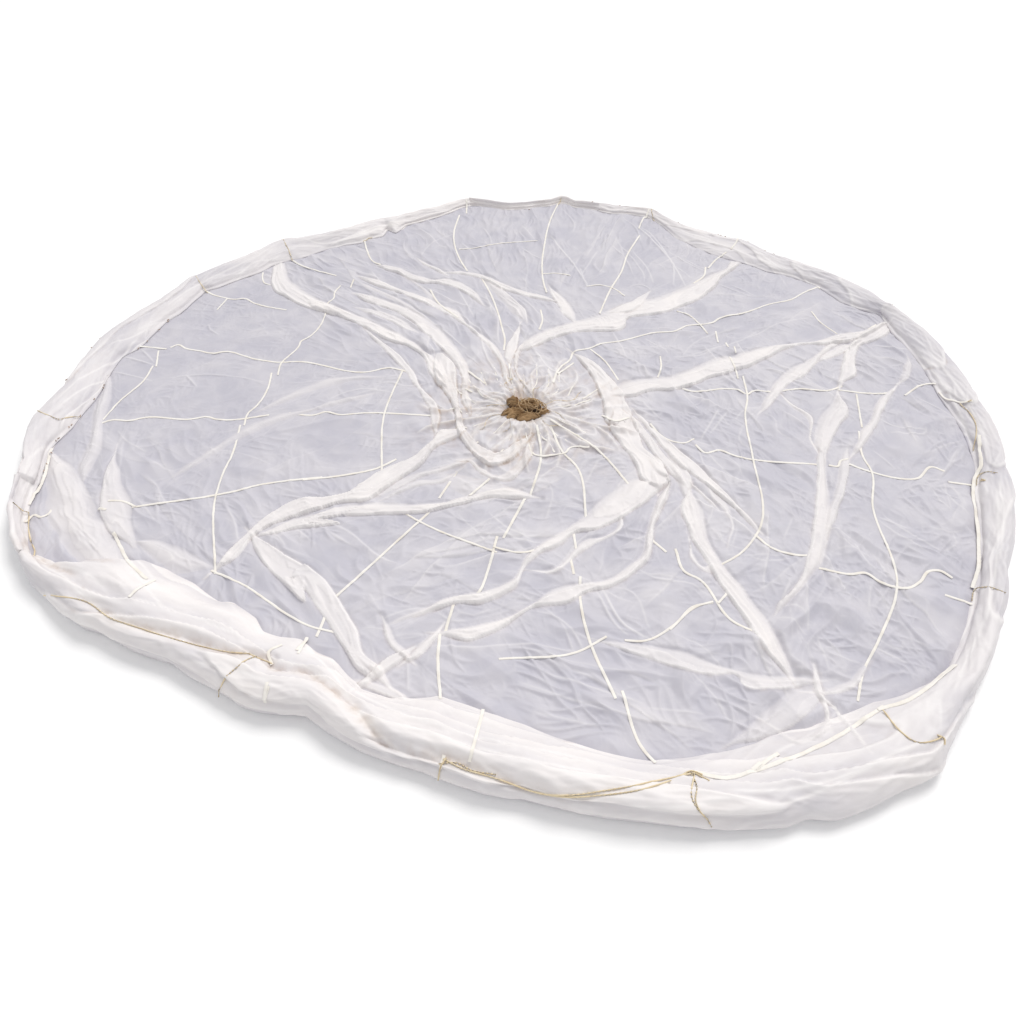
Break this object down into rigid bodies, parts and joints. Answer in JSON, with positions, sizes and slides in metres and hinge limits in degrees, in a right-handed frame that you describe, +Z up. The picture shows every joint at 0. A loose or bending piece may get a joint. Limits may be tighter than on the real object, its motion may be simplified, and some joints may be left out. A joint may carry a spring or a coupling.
{
  "type": "round parachute canopy laid out flat with its skirt rolled in",
  "caption": "Round sheer white parachute canopy spread on the floor, drawn into long folds towards its gathered vent, with seam and ring tapes and a soft rolled skirt.",
  "frame": {"origin": "middle of the canopy's plan outline, on the floor it lies on", "axes": "+Z up out of the floor, +Y from the thickly rolled front of the skirt to its flatter far side, +X to the right of someone standing in front"},
  "size_m": [3.5092, 3.379, 0.0865],
  "materials": {
    "canopy_cloth": "sheer plain-woven nylon, lavender grey in one layer and warm white where folded",
    "seam_tape": "matt cream woven tape",
    "suspension_line": "matt tan braided line and tape",
    "vent_gather": "matt brown gathered lines and webbing"
  },
  "bodies": {
    "root": {"gore_01": "canopy_cloth", "gore_02": "canopy_cloth", "gore_03": "canopy_cloth", "gore_04": "canopy_cloth", "gore_05": "canopy_cloth", "gore_06": "canopy_cloth", "gore_07": "canopy_cloth", "gore_08": "canopy_cloth", "gore_09": "canopy_cloth", "gore_10": "canopy_cloth", "gore_11": "canopy_cloth", "gore_12": "canopy_cloth", "gore_13": "canopy_cloth", "gore_14": "canopy_cloth", "gore_15": "canopy_cloth", "gore_16": "canopy_cloth", "gore_17": "canopy_cloth", "gore_18": "canopy_cloth", "gore_19": "canopy_cloth", "gore_20": "canopy_cloth", "seam_tape_01": "seam_tape", "seam_tape_02": "seam_tape", "seam_tape_03": "seam_tape", "seam_tape_04": "seam_tape", "seam_tape_05": "seam_tape", "seam_tape_06": "seam_tape", "seam_tape_07": "seam_tape", "seam_tape_08": "seam_tape", "seam_tape_09": "seam_tape", "seam_tape_10": "seam_tape", "seam_tape_11": "seam_tape", "seam_tape_12": "seam_tape", "seam_tape_13": "seam_tape", "seam_tape_14": "seam_tape", "seam_tape_15": "seam_tape", "seam_tape_16": "seam_tape", "seam_tape_17": "seam_tape", "seam_tape_18": "seam_tape", "seam_tape_19": "seam_tape", "seam_tape_20": "seam_tape", "ring_tape_1": "seam_tape", "ring_tape_2": "seam_tape", "ring_tape_3": "seam_tape", "ring_tape_4": "seam_tape", "skirt_tape_1": "suspension_line", "skirt_tape_2": "suspension_line", "skirt_tape_3": "suspension_line", "skirt_tape_4": "suspension_line", "vent_bundle": "vent_gather", "vent_cord": "suspension_line"}
  },
  "joints": []
}
